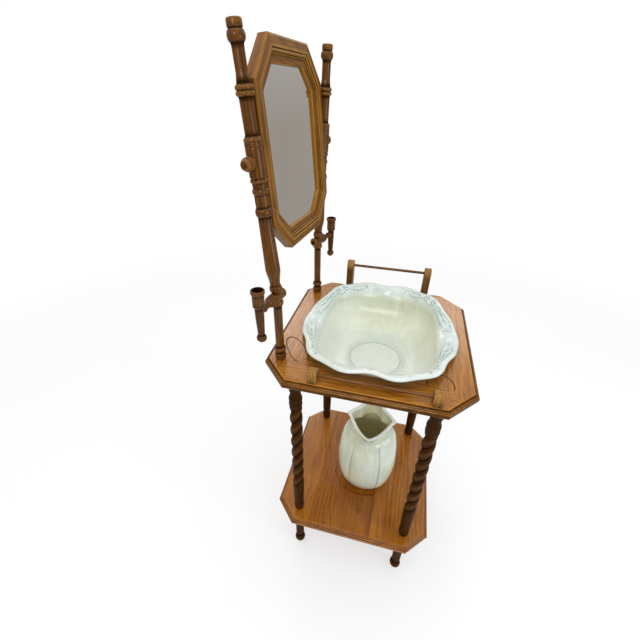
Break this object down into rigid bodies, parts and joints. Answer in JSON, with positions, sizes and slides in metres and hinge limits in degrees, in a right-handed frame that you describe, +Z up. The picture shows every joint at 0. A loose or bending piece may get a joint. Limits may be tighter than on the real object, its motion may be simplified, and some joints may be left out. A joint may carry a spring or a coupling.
{
  "type": "washstand",
  "caption": "Oak washstand: eight-sided board and shelf on barley-twist legs, tilting mirror, swivelling candle arms, towel rails, lift-out basin and pitcher.",
  "frame": {"origin": "on the floor under the middle of the top board", "axes": "+Z up, +X to the right of a person who stands at -Y and looks into the mirror, +Y towards the mirror at the back"},
  "size_m": [0.4214, 0.4136, 1.177],
  "materials": {
    "oak_board": "satin lacquer over golden oak stain",
    "oak_frame": "satin lacquer over golden oak stain",
    "oak_turned": "satin lacquer over dark oak stain",
    "oak_bracket": "satin lacquer, worn on the edges",
    "dowel": "bare",
    "backing": "bare hardboard",
    "steel": "zinc plated",
    "washer": "dull",
    "mirror": "silvered",
    "glaze": "glossy off-white glaze"
  },
  "bodies": {
    "stand": {"top_board": "oak_board", "lower_shelf": "oak_board", "leg_front_left": "oak_turned", "leg_front_right": "oak_turned", "leg_back_left": "oak_turned", "leg_back_right": "oak_turned", "foot_front_left": "oak_turned", "foot_front_right": "oak_turned", "foot_back_left": "oak_turned", "foot_back_right": "oak_turned", "leg_dowels": "dowel", "left_post_base": "oak_turned", "right_post_base": "oak_turned", "left_post": "oak_turned", "right_post": "oak_turned", "left_post_pin": "dowel", "right_post_pin": "dowel", "post_screws": "steel", "left_front_bracket": "oak_bracket", "left_back_bracket": "oak_bracket", "right_front_bracket": "oak_bracket", "right_back_bracket": "oak_bracket", "left_towel_bar": "oak_turned", "right_towel_bar": "oak_turned", "bracket_screws": "steel"},
    "mirror": {"frame_right": "oak_frame", "frame_top_right": "oak_frame", "frame_top": "oak_frame", "frame_top_left": "oak_frame", "frame_left": "oak_frame", "frame_bottom_left": "oak_frame", "frame_bottom": "oak_frame", "frame_bottom_right": "oak_frame", "mirror_glass": "mirror", "mirror_backing": "backing", "backing_clips": "steel", "clip_screws": "steel", "left_stud": "steel", "right_stud": "steel", "left_washer": "washer", "right_washer": "washer"},
    "left_arm": {"left_arm": "oak_turned", "left_candle_cup": "oak_turned"},
    "right_arm": {"right_arm": "oak_turned", "right_candle_cup": "oak_turned"},
    "left_knob": {"left_knob": "oak_turned"},
    "right_knob": {"right_knob": "oak_turned"},
    "basin": {"basin": "glaze"},
    "pitcher": {"pitcher": "glaze"}
  },
  "joints": [
    {"name": "mirror_tilt", "type": "hinge", "parent": "stand", "child": "mirror", "pos_m": [0, 0.17568, 1.0183], "axis": [0.9952, -0.0975, 0], "continuous": true},
    {"name": "left_arm_swivel", "type": "hinge", "parent": "stand", "child": "left_arm", "pos_m": [-0.14222, 0.1704, 0.803], "axis": [0, 0, 1], "continuous": true},
    {"name": "right_arm_swivel", "type": "hinge", "parent": "stand", "child": "right_arm", "pos_m": [0.14222, 0.1704, 0.803], "axis": [0, 0, 1], "continuous": true},
    {"name": "left_knob_turn", "type": "hinge", "parent": "mirror", "child": "left_knob", "pos_m": [-0.16611, 0.19195, 1.0183], "axis": [-0.9952, 0.0975, 0], "range_deg": [0, 360]},
    {"name": "right_knob_turn", "type": "hinge", "parent": "mirror", "child": "right_knob", "pos_m": [0.16611, 0.15941, 1.0183], "axis": [0.9952, -0.0975, 0], "range_deg": [0, 360]},
    {"name": "basin_lift", "type": "slide", "parent": "stand", "child": "basin", "axis": [0, 0, 1], "range_m": [0, 0.12]},
    {"name": "pitcher_out", "type": "slide", "parent": "stand", "child": "pitcher", "axis": [0, -1, 0], "range_m": [0, 0.28]}
  ]
}
